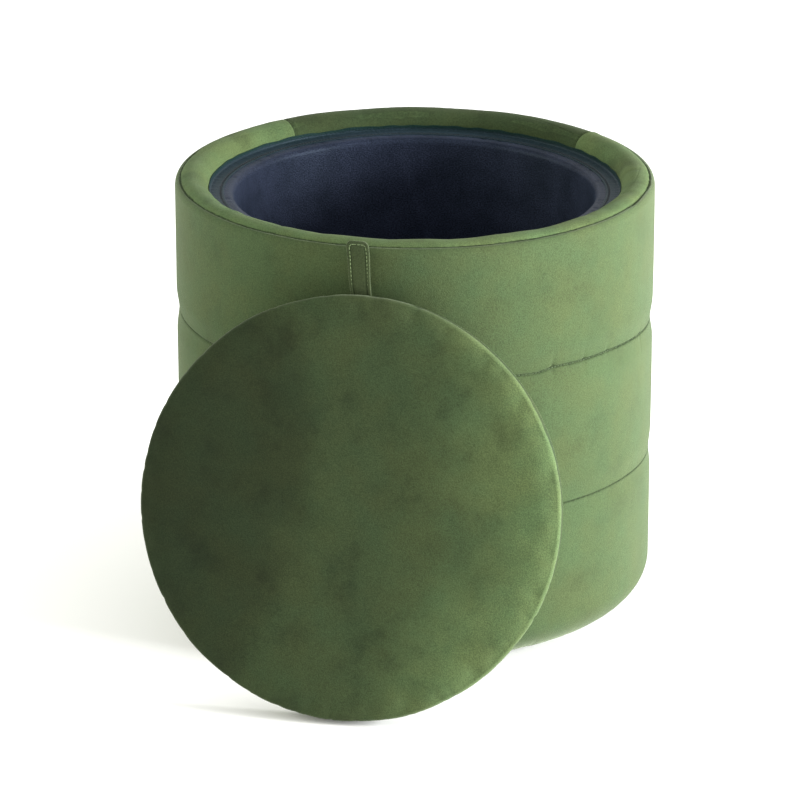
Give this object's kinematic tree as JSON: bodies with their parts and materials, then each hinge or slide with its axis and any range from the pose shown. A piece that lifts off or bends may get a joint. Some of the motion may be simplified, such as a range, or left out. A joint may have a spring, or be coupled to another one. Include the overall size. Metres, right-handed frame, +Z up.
{
  "type": "storage ottoman",
  "caption": "Round velvet storage ottoman: padded drum in sewn bands, lined storage well, and a loose padded lid with a pull tab that leans on the front or drops into the rim.",
  "frame": {"origin": "centre of the drum's flat underside, on the floor", "axes": "+Z up along the drum's axis; the loose lid leans on the drum's -Y side and is symmetric about the YZ plane"},
  "size_m": [0.3999, 0.5028, 0.3779],
  "materials": {
    "velvet": "short-pile velvet",
    "lining": "smooth woven nylon",
    "black_cloth": "matt non-woven cloth",
    "foam": "open-cell foam",
    "fibreboard": "raw fibreboard",
    "plywood": "raw plywood",
    "steel": "zinc plated"
  },
  "bodies": {
    "drum": {"dust_cloth": "black_cloth", "base_board": "fibreboard", "floor_panel": "fibreboard", "battens": "plywood", "ledge_board": "plywood", "drum_shell": "fibreboard", "wall_foam": "foam", "rim_foam": "foam", "cover_lower_band": "velvet", "cover_middle_band": "velvet", "cover_upper_band": "velvet", "rim_cover": "velvet", "lining_wall": "lining", "lining_floor": "lining", "lining_ledge": "lining", "lining_hem": "lining", "base_screws": "steel", "ledge_screws": "steel", "cover_staples": "steel", "lining_staples": "steel"},
    "tab_end": {"pull_tab_end": "velvet"},
    "lid": {"lid_board": "fibreboard", "lid_foam": "foam", "lid_cover": "velvet", "lid_dust_cloth": "black_cloth", "lid_staples": "steel", "pull_tab": "velvet"}
  },
  "joints": [
    {"name": "lid_carry", "type": "hinge", "parent": "drum", "child": "tab_end", "pos_m": [0, -0.00282, 0.3867], "axis": [-1, 0, 0], "range_deg": [0, 188]},
    {"name": "tab_fold", "type": "hinge", "parent": "tab_end", "child": "lid", "pos_m": [0, -0.20902, 0.36791], "axis": [1, 0, 0], "range_deg": [0, 111.91]}
  ],
  "couplings": [
    {"joint": "tab_fold", "follows": "lid_carry", "ratio": 0.59521}
  ]
}
